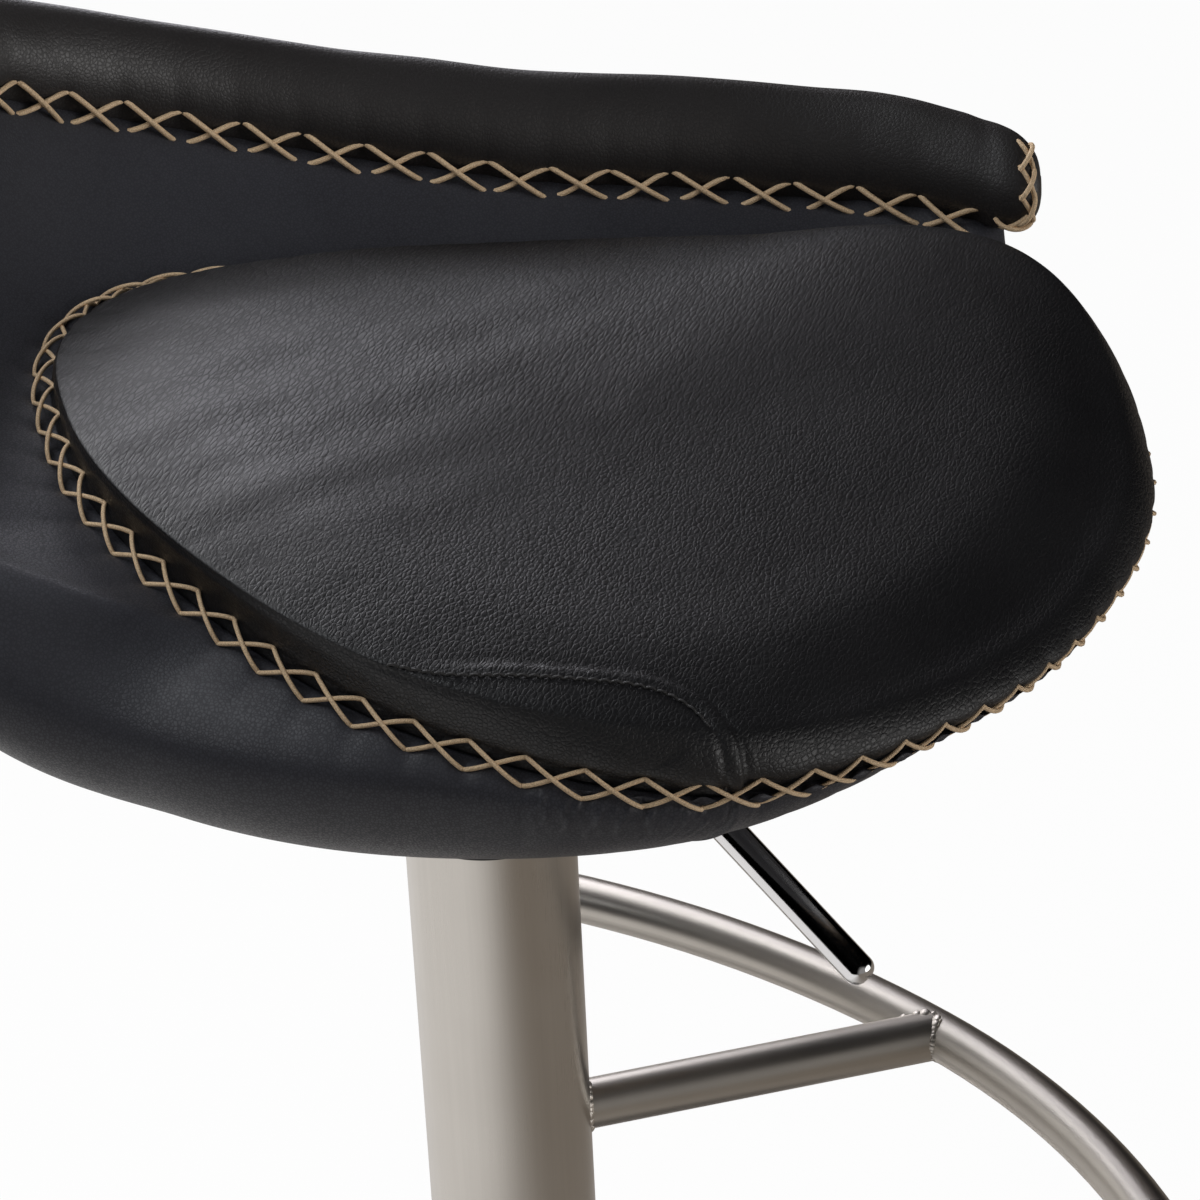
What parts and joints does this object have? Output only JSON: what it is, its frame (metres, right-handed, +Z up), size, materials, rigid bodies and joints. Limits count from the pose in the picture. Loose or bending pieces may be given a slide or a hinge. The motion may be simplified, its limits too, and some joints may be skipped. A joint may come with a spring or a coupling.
{
  "type": "bar stool",
  "caption": "Swivelling gas-lift bar stool with a cross-stitched leather bucket seat, a low back that wraps round the sitter's left, a release lever, a bowed footrest and a disc base.",
  "frame": {"origin": "on the floor, under the column's axis", "axes": "+Z up; the sitter faces -Y, so -X is the sitter's right and the back stands at +Y and +X; the stool rests at its lowest setting"},
  "size_m": [0.4832, 0.5494, 0.7957],
  "materials": {
    "pad_rubber": "matte",
    "brushed_steel": "brushed satin",
    "fastener_steel": "zinc plated",
    "black_plastic": "fine matte",
    "black_steel": "satin black paint",
    "bright_chrome": "polished",
    "plywood": "raw plywood",
    "skin_leather": "smooth, satin",
    "seat_leather": "pebble grained, satin"
  },
  "bodies": {
    "stand": {"floor_pad": "pad_rubber", "base_plate": "brushed_steel", "foot_screws": "fastener_steel", "column_foot": "fastener_steel", "column_tube": "brushed_steel", "footrest_bow": "brushed_steel", "footrest_stay": "brushed_steel", "bow_end_caps": "black_plastic", "stand_tube": "black_steel", "top_collar": "black_plastic", "guide_sleeve": "black_plastic", "thrust_bearing": "fastener_steel"},
    "swivel": {"piston_rod": "bright_chrome", "rod_clip": "fastener_steel"},
    "seat": {"gas_cylinder": "bright_chrome", "mechanism_plate": "black_steel", "lever_pin": "fastener_steel", "seat_board": "plywood", "tee_nuts": "fastener_steel", "seat_bolts": "fastener_steel", "outer_shell": "skin_leather", "seat_pad": "seat_leather", "back_body": "skin_leather", "back_roll": "skin_leather"},
    "lever": {"lever_rod": "bright_chrome"},
    "release": {"release_pin": "fastener_steel"}
  },
  "joints": [
    {"name": "seat_swivel", "type": "hinge", "parent": "stand", "child": "swivel", "pos_m": [0, 0, 0.056], "axis": [0, 0, 1], "continuous": true},
    {"name": "seat_lift", "type": "slide", "parent": "swivel", "child": "seat", "axis": [0, 0, 1], "range_m": [0, 0.2]},
    {"name": "lever_lift", "type": "hinge", "parent": "seat", "child": "lever", "pos_m": [-0.01015, -0.03035, 0.533], "axis": [-0.9483, 0.3173, 0], "range_deg": [0, 5.2], "stiffness_Nm_per_rad": 4},
    {"name": "pin_press", "type": "slide", "parent": "seat", "child": "release", "axis": [0, 0, -1], "range_m": [0, 0.0035]}
  ],
  "couplings": [
    {"joint": "pin_press", "follows": "lever_lift", "m_per_rad": 0.032}
  ]
}
